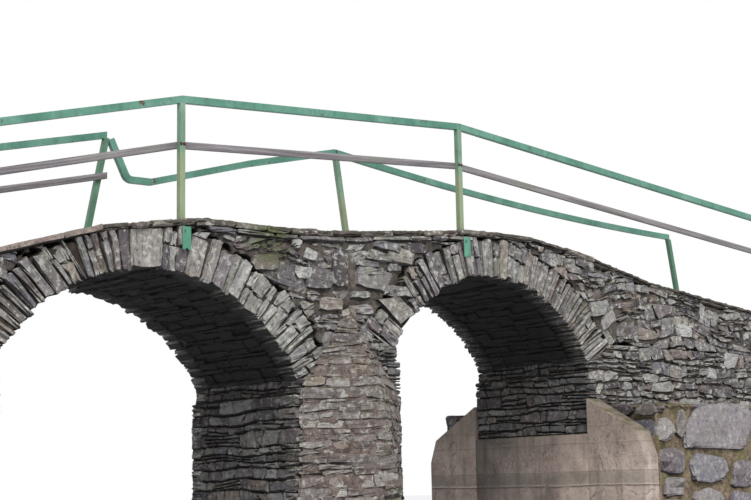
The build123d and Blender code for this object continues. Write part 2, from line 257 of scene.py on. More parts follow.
def lay_wall(
    quads, at, rng, keep=None, trim=None,
    proud=0.022, thick=0.15, joint=0.012, arris=0.012, chip=0.009, rubble=0.0,
):
    """Lays a stone in each quad that is kept, set back unevenly from the finished face."""
    if keep:
        quads = [quad for quad in quads if keep(*np.mean(quad, axis=0))]
    quads = with_joints(quads, joint, rng)
    front = -rng.uniform(0.0, proud, len(quads))
    slots = slot_corners(quads, front, front - thick, at)
    points, grain = cut_to_slots(slots, rng, arris, chip, rubble)
    return stone_mesh(trim(points) if trim else points, grain, rng)


def uneven_marks(count, low, high, rng):
    """Marks from 0 to 1 that split a length into uneven parts."""
    marks = np.concatenate([[0], np.cumsum(rng.uniform(low, high, count))])
    return marks / marks[-1]


def rough_courses(
    u_from, u_to, v_from, v_to, rng,
    lift=(0.11, 0.25), course=(0.03, 0.1), stone=(0.09, 0.3),
):
    """Quads of rubble built in low lifts, each split into short stretches of its own courses."""
    levels = [v_from]
    while levels[-1] < v_to:
        levels.append(levels[-1] + rng.uniform(*lift))
    levels = v_from + (np.array(levels) - v_from) * (v_to - v_from) / (levels[-1] - v_from)
    last = len(levels) - 1
    phase = rng.uniform(0, full_turn, last + 1)

    def bed(number, u):
        if number in (0, last):
            return levels[number]
        turn = phase[number]
        return levels[number] + 0.018 * math.sin(2.3 * u + turn) + 0.012 * math.sin(8 * u + turn)

    quads = []
    for number in range(last):
        u = u_from
        while u < u_to - 0.04:
            stretch = rng.uniform(0.22, 0.7)
            end = u + stretch if u + stretch < u_to - 0.16 else u_to
            height = levels[number + 1] - levels[number]
            count = 1 if rng.uniform() < 0.14 else max(1, round(height / rng.uniform(*course)))
            shares = uneven_marks(count, 0.5, 1.5, rng)
            tilt = rng.uniform(-0.07, 0.07)
            for low, high in zip(shares, shares[1:]):
                left = u
                lean_left = 0
                thick = (high - low) * height
                while left < end - 0.03:
                    length = rng.uniform(*stone) * (0.6 + 5 * thick)
                    right = left + length if left + length < end - 0.06 else end
                    lean = rng.uniform(-0.3, 0.3) * thick
                    quad = []
                    for side, part in ((left, low), (right, low), (right, high), (left, high)):
                        lean_here = lean if side == right else lean_left
                        lean_here *= 0 if side in (u_from, u_to) else 1 if part == high else -1
                        base = bed(number, side)
                        top = bed(number + 1, side)
                        slope = tilt * (side - (u + end) / 2) * math.sin(part * math.pi)
                        quad.append((side + lean_here, base + (top - base) * part + slope))
                    quads.append(quad)
                    left = right
                    lean_left = lean
            u = end
    return quads


def loosen(quads, turn, spread, rng):
    """Turns every stone a little and moves its corners, as in rubble laid by eye."""
    loosened = []
    for quad in quads:
        corners = np.array(quad)
        middle = corners.mean(axis=0)
        angle = rng.normal(0, turn)
        along = [math.cos(angle), math.sin(angle)]
        across = [-math.sin(angle), math.cos(angle)]
        turned = (corners - middle) @ [along, across]
        reach = min(spread, 0.22 * np.ptp(corners, axis=0).min())
        loosened.append([tuple(corner) for corner in middle + turned + rng.uniform(-reach, reach, (4, 2))])
    return loosened


def sway_beds(quads, amount, rng, bend):
    """Lets the courses of a wall rise and dip as they pass bigger stones."""
    phase = rng.uniform(0, full_turn, 4)

    def swayed(u, v):
        rise = math.sin(2.9 * u + 1.7 * v + phase[0]) + 0.6 * math.sin(6.3 * u - 2.4 * v + phase[1])
        shift = math.sin(5.1 * v + phase[2]) * math.sin(1.3 * u + phase[3])
        return u + amount * shift, v + amount * rise + bend(u, v)

    return [[swayed(u, v) for u, v in quad] for quad in quads]


# Stone finish. Schist weathers to purple greys, browns and olive greys, streaked along its
# bedding, with pale round lichens and moss on what faces up; painted shade darkens what faces
# down and what lies under the arches.


def linear(shade):
    """Scene colour of an everyday 0 to 255 one; anything else is handed back as it is."""
    if not isinstance(shade, tuple) or len(shade) == 4:
        return shade
    parts = [part / 255 for part in shade]
    return (*(part / 12.92 if part <= 0.04045 else ((part + 0.055) / 1.055) ** 2.4 for part in parts), 1.0)


def feed(tree, node, inputs):
    """Links or sets a node's inputs, which are given by name or number."""
    for socket, value in inputs.items():
        if isinstance(value, bpy.types.NodeSocket):
            tree.links.new(value, node.inputs[socket])
        else:
            node.inputs[socket].default_value = value


def add_node(tree, kind, output, inputs, **settings):
    """Adds a shader node and hands back one of its outputs."""
    node = tree.nodes.new("ShaderNode" + kind)
    for key, value in settings.items():
        setattr(node, key, value)
    feed(tree, node, inputs)
    return node.outputs[output]


class Finish:
    """A weathered surface, built up in coats that each show where their masks are on."""

    def __init__(self, name):
        self.material = bpy.data.materials.new(name)
        self.material.use_nodes = True
        self.tree = self.material.node_tree
        self.place = self.add("TexCoord", "Object")

    def add(self, kind, output, inputs=None, **settings):
        return add_node(self.tree, kind, output, inputs or {}, **settings)

    def stretched(self, stretch, vector=None):
        return self.add("Mapping", "Vector", {"Vector": vector or self.place, "Scale": stretch})

    def noise(self, scale, detail=4.0, roughness=0.6, vector=None):
        inputs = {"Vector": vector or self.place, "Scale": scale, "Detail": detail, "Roughness": roughness}
        return self.add("TexNoise", "Fac", inputs)

    def stored(self, name):
        return self.add("Attribute", "Fac", attribute_name=name)

    def part(self, vector, axis):
        return self.add("SeparateXYZ", axis, {"Vector": vector})

    def facing_up(self):
        return self.part(self.add("NewGeometry", "Normal"), "Z")

    def reckon(self, operation, *values):
        return self.add("Math", "Value", dict(enumerate(values)), operation=operation)

    def mask(self, value, low, high):
        """0 below low, 1 above high, and a straight run between."""
        return self.add("MapRange", "Result", {"Value": value, "From Min": low, "From Max": high})

    def ramp(self, tones, value):
        """Even steps of colour that follow a value, or a mask given as (value, low, high)."""
        node = self.tree.nodes.new("ShaderNodeValToRGB")
        steps = node.color_ramp.elements
        last = len(tones) - 1
        for number in range(1, last):
            steps.new(number / last)
        for step, tone in zip(steps, tones):
            step.color = linear(tone)
        feed(self.tree, node, {"Fac": self.mask(*value) if isinstance(value, tuple) else value})
        return node.outputs["Color"]

    def coat(self, label, shade, strength, *masks, kind="MIX"):
        """Lays a colour over the base at a strength, only where all its masks are on."""
        amount = strength
        for mask in masks:
            amount = self.reckon("MULTIPLY", amount, self.mask(*mask) if isinstance(mask, tuple) else mask)
        inputs = {0: amount, 6: self.base, 7: linear(shade)}
        self.base = self.add("Mix", 2, inputs, data_type="RGBA", blend_type=kind, label=label)

    def dress(self, roughness, relief, **others):
        """Ends the finish with relief over relief, each as (height, how deep in metres)."""
        normal = {}
        for height, depth in relief:
            normal = {"Normal": self.add("Bump", "Normal", {"Height": height, "Distance": depth, **normal})}
        inputs = {"Base Color": self.base, "Roughness": roughness, **normal, **others}
        feed(self.tree, self.tree.nodes["Principled BSDF"], inputs)
        return self.material


# Near black that is laid on as painted shade.
shade_black = (0.012, 0.012, 0.013, 1)
green_patch = (-0.82, -0.8, 2.34)


def stone_finish(name, tones, dark=0.0, lichen=1.0, moss=1.0, shade_below=0.93, laminated=1.0):
    stone = Finish(name)
    bedding = stone.add("UVMap", "UV", uv_map="bedding")
    streaks = stone.noise(1.0, 5.0, 0.65, stone.stretched((5, 48, 1), bedding))
    patches = stone.noise(11.0, 6.0, 0.7)
    grains = stone.noise(55.0, 5.0, 0.75)
    crusts = stone.noise(21.0, 6.0, 0.68)
    broad = stone.noise(1.6, 3.0, 0.5)
    scatter = stone.noise(3.2, 2.0)
    spread = stone.noise(2.3, 5.0, 0.7)
    spots = stone.add("TexVoronoi", "Distance", {"Vector": stone.place, "Scale": 13.0})
    away = stone.add("VectorMath", "Value", {0: stone.place, 1: green_patch}, operation="DISTANCE")
    upward = stone.facing_up()
    stone.base = stone.ramp(tones, stone.stored("tone"))
    stone.coat("darker stones", (0.5, 0.48, 0.51, 1), 1, (stone.stored("shade"), 0.7, 0.0), kind="MULTIPLY")
    stone.coat("seams", (66, 58, 56), 0.75 * laminated, (streaks, 0.46, 0.36))
    stone.coat("iron stain", (158, 130, 106), 0.5, (patches, 0.58, 0.7))
    stone.coat("pits", (56, 50, 48), 0.8, (grains, 0.44, 0.32))
    stone.coat("pale crust", (226, 224, 216), 0.72 * lichen, (crusts, 0.51, 0.59), (patches, 0.42, 0.54))
    stone.coat("soot", (74, 66, 62), 0.6, (crusts, 0.45, 0.37), (patches, 0.56, 0.46))
    round_lichen = ((spots, 0.36, 0.28), (scatter, 0.54, 0.62), (grains, 0.3, 0.5))
    stone.coat("round lichen", (206, 208, 200), 0.85 * lichen, *round_lichen)
    stone.coat("film", (148, 150, 128), 0.36 * lichen, (broad, 0.5, 0.64), (patches, 0.4, 0.6))
    stone.coat("moss on top", (96, 98, 52), 0.7 * moss, (upward, 0.3, 0.85), (patches, 0.44, 0.58))
    stone.coat("moss patch", (92, 96, 62), 0.5 * moss, (spread, 0.56, 0.66), (grains, 0.35, 0.6))
    stone.coat("green patch", (88, 98, 48), 0.8, (away, 0.3, 0.12), (crusts, 0.36, 0.5))
    # Painted shade: faces that look down are darkened toward black.
    stone.coat("painted shade below", shade_black, shade_below, (upward, -0.1, -0.38))
    # Painted shade on the stones marked at the soffit.
    stone.coat("soffit_shade", shade_black, 0.93, stone.stored("soffit_shade"))
    stone.coat("shade", shade_black, dark)
    relief = [(streaks, 0.02 * laminated), (patches, 0.03), (grains, 0.012)]
    return stone.dress(0.88, relief, **{"Specular IOR Level": 0.3})


def mortar_finish(name, tones, dark=0.0, moss=1.0, earthy=0.0):
    mortar = Finish(name)
    patches = mortar.noise(7.0, 6.0, 0.65)
    grit = mortar.noise(90.0, 4.0, 0.7)
    clods = mortar.noise(26.0, 6.0, 0.75)
    upward = mortar.facing_up()
    mortar.base = mortar.ramp(tones, (patches, 0.3, 0.7))
    mortar.coat("grit", (0.55, 0.53, 0.5, 1), 1, (grit, 0.65, 0.35), kind="MULTIPLY")
    mortar.coat("hollows", (58, 50, 44), 0.8, (clods, 0.48, 0.36))
    mortar.coat("clods", tones[-1], 0.7, (clods, 0.56, 0.66))
    if earthy:
        weeds = mortar.noise(3.4, 6.0, 0.7)
        mortar.coat("green film", (96, 100, 58), 0.75 * earthy, (weeds, 0.5, 0.58), (clods, 0.36, 0.5))
    mortar.coat("moss on top", (80, 84, 44), 0.7 * moss, (upward, 0.35, 0.9), (patches, 0.45, 0.6))
    # Painted shade: mortar that faces down is darkened toward black.
    mortar.coat("painted shade below", shade_black, 0.93, (upward, -0.3, -0.6))
    mortar.coat("shade", (0.012, 0.011, 0.011, 1), dark)
    return mortar.dress(0.95, [(patches, 0.03), (grit, 0.012)], **{"Specular IOR Level": 0.2})


schist_tones = (
    (116, 110, 116), (152, 147, 146), (170, 163, 154), (140, 138, 145),
    (160, 159, 151), (206, 205, 202), (138, 126, 131), (176, 162, 148),
)
ring_tones = (
    (124, 118, 123), (156, 150, 146), (172, 166, 158), (142, 139, 145),
    (161, 159, 151), (200, 198, 195), (138, 128, 132), (173, 161, 148),
)
wall_stone = stone_finish("weathered_schist", schist_tones)
# Lit and shaded copies of the stone: the vault's is darkened almost to black and the jambs' by half, both
# painted shade.
barrel_stone = stone_finish("vault_shade_schist", schist_tones, dark=0.9, lichen=0.2, moss=0.0)
shaded_stone = stone_finish("shaded_schist", schist_tones, dark=0.5, lichen=0.6, moss=0.3)
joint_mortar = mortar_finish("joint_mortar", ((70, 65, 62), (104, 97, 92), (142, 132, 124)))
ring_stone = stone_finish("ring_schist", ring_tones)
# The rings' mortar is its own colour darkened with painted shade, for the deep open joints between the
# slabs.
ring_mortar = mortar_finish("ring_mortar", ((50, 45, 42), (78, 70, 64), (118, 108, 98)))
# Mortar darkened with painted shade, for the beds under the arches.
painted_shade_mortar = mortar_finish("painted_shade_mortar", ((56, 50, 47), (74, 65, 60), (92, 82, 74)), dark=0.6)


def finish_masonry(
    node, slot, layers, bed_finish=joint_mortar, stone=wall_stone,
    cell=0.04, depth=0.06, level=1.1, held=None, shaded=None,
):
    """Joins a node's bed and the stones laid in it into the one piece that stands for it."""
    bed = mortar_bed(node, cell, depth, level, held)
    bed.data.materials.append(bed_finish)
    bed.data.materials.append(painted_shade_mortar)
    # Bed faces that shaded picks, those under the arches, take the painted shade mortar.
    if shaded:
        for face in bed.data.polygons:
            face.material_index = int(shaded(face.center, face.normal))
    for layer in layers:
        if not layer.data.materials:
            layer.data.materials.append(stone)
    join(bed, *layers)
    points = np.empty(3 * len(bed.data.vertices))
    bed.data.vertices.foreach_get("co", points)
    points = np.clip(points.reshape(-1, 3), *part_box(node))
    bed.data.vertices.foreach_set("co", points.ravel())
    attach(bed, "root")
    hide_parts(node)


# Deck line. The crest of the bridge rises over both crowns, and every wall under it stops
# at the underside of the coping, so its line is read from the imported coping.

coping_corners = points_of(nodes["near_coping"])
deck_x = np.unique(coping_corners[:, 0].round(3))
deck_z = np.array([coping_corners[abs(coping_corners[:, 0] - x) < 0.002, 2].max() for x in deck_x])
coping_depth = 0.06
left_end = deck_x[0]
right_end = deck_x[-1]


def deck_top(x):
    return np.interp(x, deck_x, deck_z)


def masonry_top(x):
    return deck_top(x) - coping_depth


# Arches. Both are segmental; each face shows a ring of thin slabs set on end with their
# long edges toward the centre, of uneven thickness and length, with open joints.

sides = (("near", -1), ("far", 1))
face_y = 0.8
skin = 0.26
ring_depth = 0.4


def slab_joints(half_angle, radius, widths):
    """Angles of the joints between slabs whose widths repeat, from the arch's left end."""
    sweep = 2 * half_angle
    marks = [0.0]
    while marks[-1] + min(widths) <= sweep * radius:
        marks.append(marks[-1] + widths[(len(marks) - 1) % len(widths)])
    return math.pi / 2 + half_angle - sweep * np.array(marks) / marks[-1]


class Arch:
    def __init__(self, x, half_span, rise, crown, widths, seed):
        self.x = x
        self.half_span = half_span
        self.radius = (half_span**2 + rise**2) / (2 * rise)
        self.z = crown - self.radius
        self.springing = crown - rise
        self.half_angle = math.asin(half_span / self.radius)
        self.joints = slab_joints(self.half_angle, self.radius, widths)
        rng = np.random.default_rng(seed)
        count = len(self.joints) - 1
        self.inner = self.radius + rng.uniform(0.0, 0.028, count)
        self.outer = self.radius + ring_depth - rng.uniform(0.0, 0.07, count)

    def polar(self, x, z):
        """Radius and angle of a point about the arch's centre."""
        return np.hypot(x - self.x, z - self.z), np.arctan2(z - self.z, x - self.x)

    def ring_edge(self, angle):
        """Outer radius of the ring's slabs at an angle, and 0 beyond the ring's ends."""
        number = np.searchsorted(-self.joints, -angle) - 1
        inside = (number >= 0) & (number < len(self.outer))
        return np.where(inside, self.outer[np.clip(number, 0, len(self.outer) - 1)], 0)


left_slab_widths = (
    0.06, 0.08, 0.05, 0.09, 0.05, 0.064, 0.076, 0.05, 0.08, 0.06, 0.095, 0.11, 0.05, 0.095,
    0.04, 0.06, 0.05, 0.07, 0.06, 0.061, 0.083, 0.276, 0.06, 0.056, 0.1, 0.15, 0.104, 0.12,
    0.06, 0.11, 0.06, 0.13, 0.06, 0.08, 0.1, 0.05, 0.11, 0.06, 0.09, 0.07, 0.07,
)
right_slab_widths = (
    0.09, 0.11, 0.1, 0.128, 0.072, 0.073, 0.077, 0.05, 0.08, 0.1, 0.08, 0.075, 0.095, 0.06,
    0.075, 0.045, 0.05, 0.04, 0.055, 0.065, 0.07, 0.09, 0.09, 0.08, 0.06, 0.07, 0.06,
    *(16 * (0.045,)),
    0.07, 0.06, 0.06, 0.05, 0.057,
)
left_arch = Arch(-1.915, 1.36, 0.829, 2.02, left_slab_widths, 3)
right_arch = Arch(1.805, 1.25, 0.746, 2.25, right_slab_widths, 5)
arches = (left_arch, right_arch)


def clear_of_rings(points, gap=0.012):
    """Moves points that fall in a ring out past the ends of its slabs."""
    moved = points.copy()
    for arch in arches:
        radius, angle = arch.polar(moved[..., 0], moved[..., 2])
        edge = arch.ring_edge(angle)
        edge = np.where(edge > 0, edge + gap, 0)
        push = np.where(radius < edge, edge / np.maximum(radius, 0.01), 1)
        moved[..., 0] = arch.x + (moved[..., 0] - arch.x) * push
        moved[..., 2] = arch.z + (moved[..., 2] - arch.z) * push
    return moved


def off_rings(x, z, shy=0.03):
    """Whether a point is clear of both rings and of the openings below them."""
    for arch in arches:
        radius, angle = arch.polar(x, z)
        edge = arch.ring_edge(angle)
        if edge > 0 and radius < edge + shy:
            return False
        if abs(x - arch.x) < arch.half_span and z - arch.z < 0.9 * arch.radius and z < arch.springing:
            return False
    return True


def at_seats(point):
    """Where the arches bear on the pier and abutments, in behind the faces of the stones."""
    for arch in arches:
        radius, angle = arch.polar(point.x, point.z)
        at_end = abs(abs(math.pi / 2 - angle) - arch.half_angle) < 0.06
        if at_end and radius > arch.radius + 0.03 and abs(point.y) < face_y - 0.05:
            return True
    return False


def under_coping(points, drop=0.004):
    """Cuts stones off at the underside of the coping."""
    points = points.copy()
    points[..., 2] = np.minimum(points[..., 2], masonry_top(points[..., 0]) - drop)
    return points


def make_room(quads, placed, margin=0.015):
    """Leaves out the quads whose middle falls on one of the listed stones."""

    def on_stone(quad, corners):
        x, z = np.mean(quad, axis=0)
        for (x_from, z_from), (x_to, z_to) in zip(corners, corners[1:] + corners[:1]):
            turn = (x_to - x_from) * (z - z_from) - (z_to - z_from) * (x - x_from)
            if turn <= -margin * math.hypot(x_to - x_from, z_to - z_from):
                return False
        return True

    return [quad for quad in quads if not any(on_stone(quad, corners) for corners in placed)]


def on_face(sign):
    """Wall face on the near side, sign -1, or the far side, with u along the bridge."""
    return lambda u, v, depth: (u, sign * (face_y + depth), v)


def ring_quads(arch, loose_haunch, broken_haunch, rng):
    """Slabs of a ring as quads, and how far each is set back from the face."""
    quads = []
    setback = []
    for number, (first, last) in enumerate(zip(arch.joints, arch.joints[1:])):
        angle = (first + last) / 2
        half = (first - last) / 2 * arch.radius
        loose = loose_haunch[0] < angle < loose_haunch[1]
        broken = broken_haunch[0] < angle < broken_haunch[1]
        inner = arch.inner[number] + (rng.uniform(0, 0.035) if loose else 0)
        outer = arch.outer[number]
        gap = rng.uniform(0.011, 0.022) if loose else rng.uniform(0.005, 0.013)
        half_width = half - min(gap / 2, 0.22 * half)
        cuts = [0, 1]
        if broken and rng.uniform() < 0.8:
            cuts = [0, rng.uniform(0.3, 0.7), 1]
        elif half < 0.06 and rng.uniform() < 0.16:
            cuts = [0, rng.uniform(0.45, 0.8), 1]
        lean = rng.uniform(-0.012, 0.012) + (0.03 if loose else 0)
        for low, high in zip(cuts, cuts[1:]):
            base = inner + (outer - inner) * low + (0.005 if low else 0)
            tip = inner + (outer - inner) * high - (0.005 if high < 1 else 0)
            quad = []
            for radius, hand in ((base, 1), (base, -1), (tip, -1), (tip, 1)):
                turned = angle + lean * (radius - arch.radius) / ring_depth
                spread = hand * half_width * (1 + 0.6 * (radius - arch.radius) / arch.radius)
                x = arch.x + radius * math.cos(turned) - spread * math.sin(turned)
                z = arch.z + radius * math.sin(turned) + spread * math.cos(turned)
                quad.append((x, z))
            quads.append(quad)
            setback.append(rng.uniform(0, 0.035 if loose else 0.022))
    return quads, np.array(setback)


haunch_slabs = [
    [(0.345, 1.948), (0.597, 1.739), (0.779, 1.841), (0.591, 1.983)],
    [(0.43, 1.99), (0.76, 1.99), (0.69, 2.085), (0.45, 2.08)],
]
no_haunch = (9.0, 9.0)
left_haunch = (math.radians(114), math.pi)
right_haunch = (0.0, math.radians(62))
for hand, arch, loose, broken in (
    ("left", left_arch, left_haunch, right_haunch),
    ("right", right_arch, no_haunch, left_haunch),
):
    for side, sign in sides:
        rng = np.random.default_rng(11 if side == "near" else 12)
        quads, setback = ring_quads(arch, loose, broken, rng)
        if (side, hand) == ("near", "right"):
            quads = make_room(quads, haunch_slabs) + haunch_slabs
            setback = np.append(setback[: len(quads) - 2], (0.0, 0.004))
        slots = slot_corners(quads, -setback, np.full(len(quads), -skin), on_face(sign))
        points, grain = cut_to_slots(slots, rng, 0.01, 0.011)
        points = under_coping(points)
        ring = stone_mesh(points, grain, rng, grain_axis=1)
        # Painted shade: ring stones at the soffit, inside the arch, are marked to be darkened almost to
        # black.
        radius, _ = arch.polar(points[..., 0], points[..., 2])
        store(ring.data, "soffit_shade", (radius < arch.radius + 0.07) & (abs(points[..., 1]) < face_y - 0.04))
        if hand == "left":
            bleached = np.repeat(points[..., 0].mean(axis=1) > arch.x + 0.65, points.shape[1])
            for attribute in ("tone", "shade"):
                values = np.empty(len(bleached))
                ring.data.attributes[attribute].data.foreach_get("value", values)
                store(ring.data, attribute, np.where(bleached, 0.53 + 0.33 * values, values))
        look = dict(bed_finish=ring_mortar, stone=ring_stone, cell=0.035, level=1.15, held=at_seats)
        finish_masonry(f"{side}_{hand}_arch_ring", "schist_slabs", [ring], **look)


# Barrels. Between the face rings the vault is laid in long rough slabs that run across the
# bridge; painted shade makes them near black underneath.

core_y = face_y - skin
barrel_widths = (0.074, 0.046, 0.092, 0.056, 0.038)
for hand, arch in (("left", left_arch), ("right", right_arch)):
    rng = np.random.default_rng(21)
    quads = []
    joints = slab_joints(arch.half_angle, arch.radius, barrel_widths)
    for first, last in zip(joints, joints[1:]):
        y = -core_y
        while y < core_y - 0.02:
            end = y + rng.uniform(0.16, 0.42)
            end = end if end < core_y - 0.1 else core_y
            quads.append([(y, last), (end, last), (end, first), (y, first)])
            y = end

    def on_barrel(u, v, depth):
        radius = arch.radius - depth
        return arch.x + radius * math.cos(v), u, arch.z + radius * math.sin(v)

    barrel = lay_wall(quads, on_barrel, rng, thick=0.1, proud=0.03, joint=0.008, arris=0.008)
    look = dict(bed_finish=painted_shade_mortar, stone=barrel_stone, cell=0.05, held=at_seats)
    finish_masonry(f"{hand}_vault", "schist_slabs", [barrel], **look)


# Pier and abutments. Rubble brought up in rough courses, with a narrow ledge under each
# springing that once carried the centring; only their jambs and faces are laid.

ledge = 0.04
ledge_drop = 0.107
pier_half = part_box("near_cutwater")[1].x - ledge
left_seat_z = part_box("left_abutment")[1].z
right_seat_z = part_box("right_abutment")[1].z


def on_jamb(x, sign):
    """Jamb at x whose surface looks along sign, with u across the bridge."""
    return lambda u, v, depth: (x + sign * depth, u, v)


def jamb(arch, x, sign, rng, low=0.0):
    """The two stages of a jamb, below and above its springing ledge."""
    ledge_z = arch.springing - ledge_drop
    lower = rough_courses(-face_y, face_y, low, ledge_z, rng, lift=(0.07, 0.13))
    upper = rough_courses(-face_y, face_y, ledge_z, arch.springing + 0.03, rng, lift=(0.1, 0.11))
    stages = [
        lay_wall(lower, on_jamb(x + sign * ledge, sign), rng, proud=0.014, chip=0.007),
        lay_wall(upper, on_jamb(x, sign), rng, proud=0.014, chip=0.007),
    ]
    for stage in stages:
        stage.data.materials.append(shaded_stone)
    return stages


def end_wall(x, sign, low, high, rng, half=face_y):
    """Cut end of the bridge, where the wall would run on into the bank."""
    return lay_wall(rough_courses(-half, half, low, high, rng), on_jamb(x, sign), rng)


def seat_line(x):
    """Top of the pier, which climbs from the lower arch's seat to the higher one's."""
    share = (x + pier_half + 0.2) / (2 * pier_half + 0.4)
    return left_seat_z + share * (right_seat_z - left_seat_z)


def under_seats(x, z):
    return z < seat_line(x) and off_rings(x, z)


def under_arch(centre, normal):
    return abs(normal.x) > 0.5 and left_end + 0.2 < centre.x < right_end - 0.2


support_look = dict(cell=0.05, held=at_seats, shaded=under_arch)
rng = np.random.default_rng(31)
layers = jamb(left_arch, -pier_half, -1, rng) + jamb(right_arch, pier_half, 1, rng)
ledge_z = left_arch.springing - ledge_drop
for _, sign in sides:
    low = rough_courses(-pier_half - ledge, pier_half + ledge, 0, ledge_z, rng)
    layers.append(lay_wall(low, on_face(sign), rng))
    high = rough_courses(-pier_half, pier_half, ledge_z, right_seat_z, rng)
    layers.append(lay_wall(high, on_face(sign), rng, under_seats, clear_of_rings))
finish_masonry("centre_pier", "pier_stone", layers, **support_look)

left_jamb_x = left_arch.x - left_arch.half_span
right_jamb_x = right_arch.x + right_arch.half_span


def beside_left_arch(x, z):
    return off_rings(x, z) and (x < left_jamb_x or z < ledge_z)


layers = jamb(left_arch, left_jamb_x, 1, rng)
for _, sign in sides:
    quads = rough_courses(left_end, left_jamb_x + ledge, 0, left_seat_z, rng)
    layers.append(lay_wall(quads, on_face(sign), rng, beside_left_arch, clear_of_rings))
layers.append(end_wall(left_end, -1, 0, left_seat_z, rng))
finish_masonry("left_abutment", "rubble_stone", layers, **support_look)

bank_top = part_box("near_retaining_wall")[1].z
concrete_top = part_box("concrete_facing")[1].z
layers = jamb(right_arch, right_jamb_x, -1, rng, low=concrete_top)
for _, sign in sides:
    quads = rough_courses(right_jamb_x, right_end, bank_top, right_seat_z, rng, (0.09, 0.25), (0.035, 0.12))
    quads = loosen(quads, 0.04, 0.015, rng)
    layers.append(lay_wall(quads, on_face(sign), rng, off_rings, clear_of_rings, rubble=0.5))
layers.append(end_wall(right_end, 1, 0, right_seat_z, rng))
finish_masonry("right_abutment", "rubble_stone", layers, **support_look)


# Spandrels. Above the arches both faces are random rubble of flat stones in uneven
# courses, packed against the ragged ends of the ring slabs.

seen_stones = (
    ([(-0.183, 2.016), (0.017, 2.04), (0.012, 2.367), (-0.144, 2.362)], 0.0),
    ([(-0.599, 2.329), (-0.493, 2.33), (-0.471, 2.41), (-0.588, 2.407)], 0.7),
    ([(-0.473, 2.236), (-0.333, 2.213), (-0.321, 2.311), (-0.45, 2.351)], 0.72),
    ([(-0.56, 2.057), (-0.378, 2.062), (-0.378, 2.175), (-0.569, 2.177)], 0.66),
    ([(0.226, 2.296), (0.517, 2.277), (0.543, 2.369), (0.251, 2.398)], 0.55),
    ([(0.275, 2.409), (0.626, 2.377), (0.63, 2.48), (0.324, 2.48)], 0.45),
    ([(0.099, 2.224), (0.375, 2.228), (0.365, 2.291), (0.112, 2.296)], 0.4),
    ([(0.142, 2.129), (0.432, 2.161), (0.422, 2.232), (0.156, 2.21)], 0.57),
    ([(-1.005, 2.082), (-0.749, 2.119), (-0.737, 2.248), (-0.994, 2.242)], 0.9),
    ([(-0.751, 1.78), (-0.572, 1.902), (-0.625, 1.941), (-0.792, 1.803)], 1.0),
    ([(0.026, 1.926), (0.264, 1.942), (0.255, 2.013), (0.05, 1.998)], 0.5),
    ([(-0.318, 1.807), (-0.043, 1.807), (-0.052, 1.93), (-0.294, 1.93)], 0.95),
)
seen_places = [corners for corners, _ in seen_stones]


def dip_to_rings(x, z):
    """How far a bed drops where it comes down onto the back of a ring."""
    drop = 0
    for arch in arches:
        beyond = arch.polar(x, z)[0] - arch.radius - 0.35
        steepness = min(1, abs(x - arch.x) / 0.9)
        drop -= 0.1 * steepness * math.exp(-max(beyond, 0) / 0.22)
    return drop


def give_tones(stones, tones, corners, least_shade=0.0):
    """Gives each stone the tone that was chosen for it."""
    tones = np.repeat(tones, len(corners))
    store(stones.data, "tone", tones)
    store(stones.data, "shade", np.maximum(tones, least_shade))


def string_course(rng):
    """Flat stones right under the coping, over both crowns and between them."""
    course = []
    x = -1.45
    while x < 1.4:
        end = x + rng.uniform(0.2, 0.55)
        low = -rng.uniform(0.046, 0.058)
        tops = masonry_top(x), masonry_top(end)
        course.append([(x, tops[0] + low), (end, tops[1] + low), (end, tops[1]), (x, tops[0])])
        x = end
    return course


for side, sign in sides:
    for part, x_from, x_to, z_from in (
        ("left", left_end, left_arch.x, left_seat_z),
        ("centre", left_arch.x, right_arch.x, left_seat_z),
        ("right", right_arch.x, right_end, right_seat_z),
    ):
        rng = np.random.default_rng(41 + len(part) + sign)
        centre = part == "centre"
        top = masonry_top(np.linspace(x_from, x_to, 50)).max()
        sizes = dict(lift=(0.09, 0.27), course=(0.035, 0.14), stone=(0.08, 0.28))
        quads = rough_courses(x_from - 0.1, x_to + 0.1, z_from - 0.3, top + 0.2, rng, **sizes)
        quads = loosen(sway_beds(quads, 0.04, rng, dip_to_rings), 0.07, 0.022, rng)
        quads = [quad for quad in quads if max(z for _, z in quad) > z_from + 0.03]
        if centre and side == "near":
            quads = make_room(quads, seen_places)

        def in_spandrel(x, z):
            inside = x_from < x < x_to and z_from - 0.08 <= z <= masonry_top(x) + 0.015
            return inside and off_rings(x, z, 0.01) and (not centre or z > seat_line(x))

        def trim_spandrel(points):
            return under_coping(clear_of_rings(points), 0.066 if centre else 0.004)

        look = dict(proud=0.036, joint=0.005, rubble=0.42)
        layers = [lay_wall(quads, on_face(sign), rng, in_spandrel, trim_spandrel, **look)]
        if centre:
            course = string_course(rng)
            layers.append(lay_wall(course, on_face(sign), rng, None, under_coping, proud=0.01, rubble=0.3))
        if centre and side == "near":
            look = dict(proud=0.008, joint=0.004, rubble=0.45)
            seen = lay_wall(seen_places, on_face(sign), rng, None, clear_of_rings, **look)
            give_tones(seen, [tone for _, tone in seen_stones], block_points)
            layers.append(seen)
        finish_masonry(f"{side}_{part}_spandrel", "rubble_stone", layers, cell=0.035, level=1.12)


# Cutwaters. A pointed buttress stands against each end of the pier, laid in thin courses,
# with a pyramid cap of the same stone that dies back into the wall.

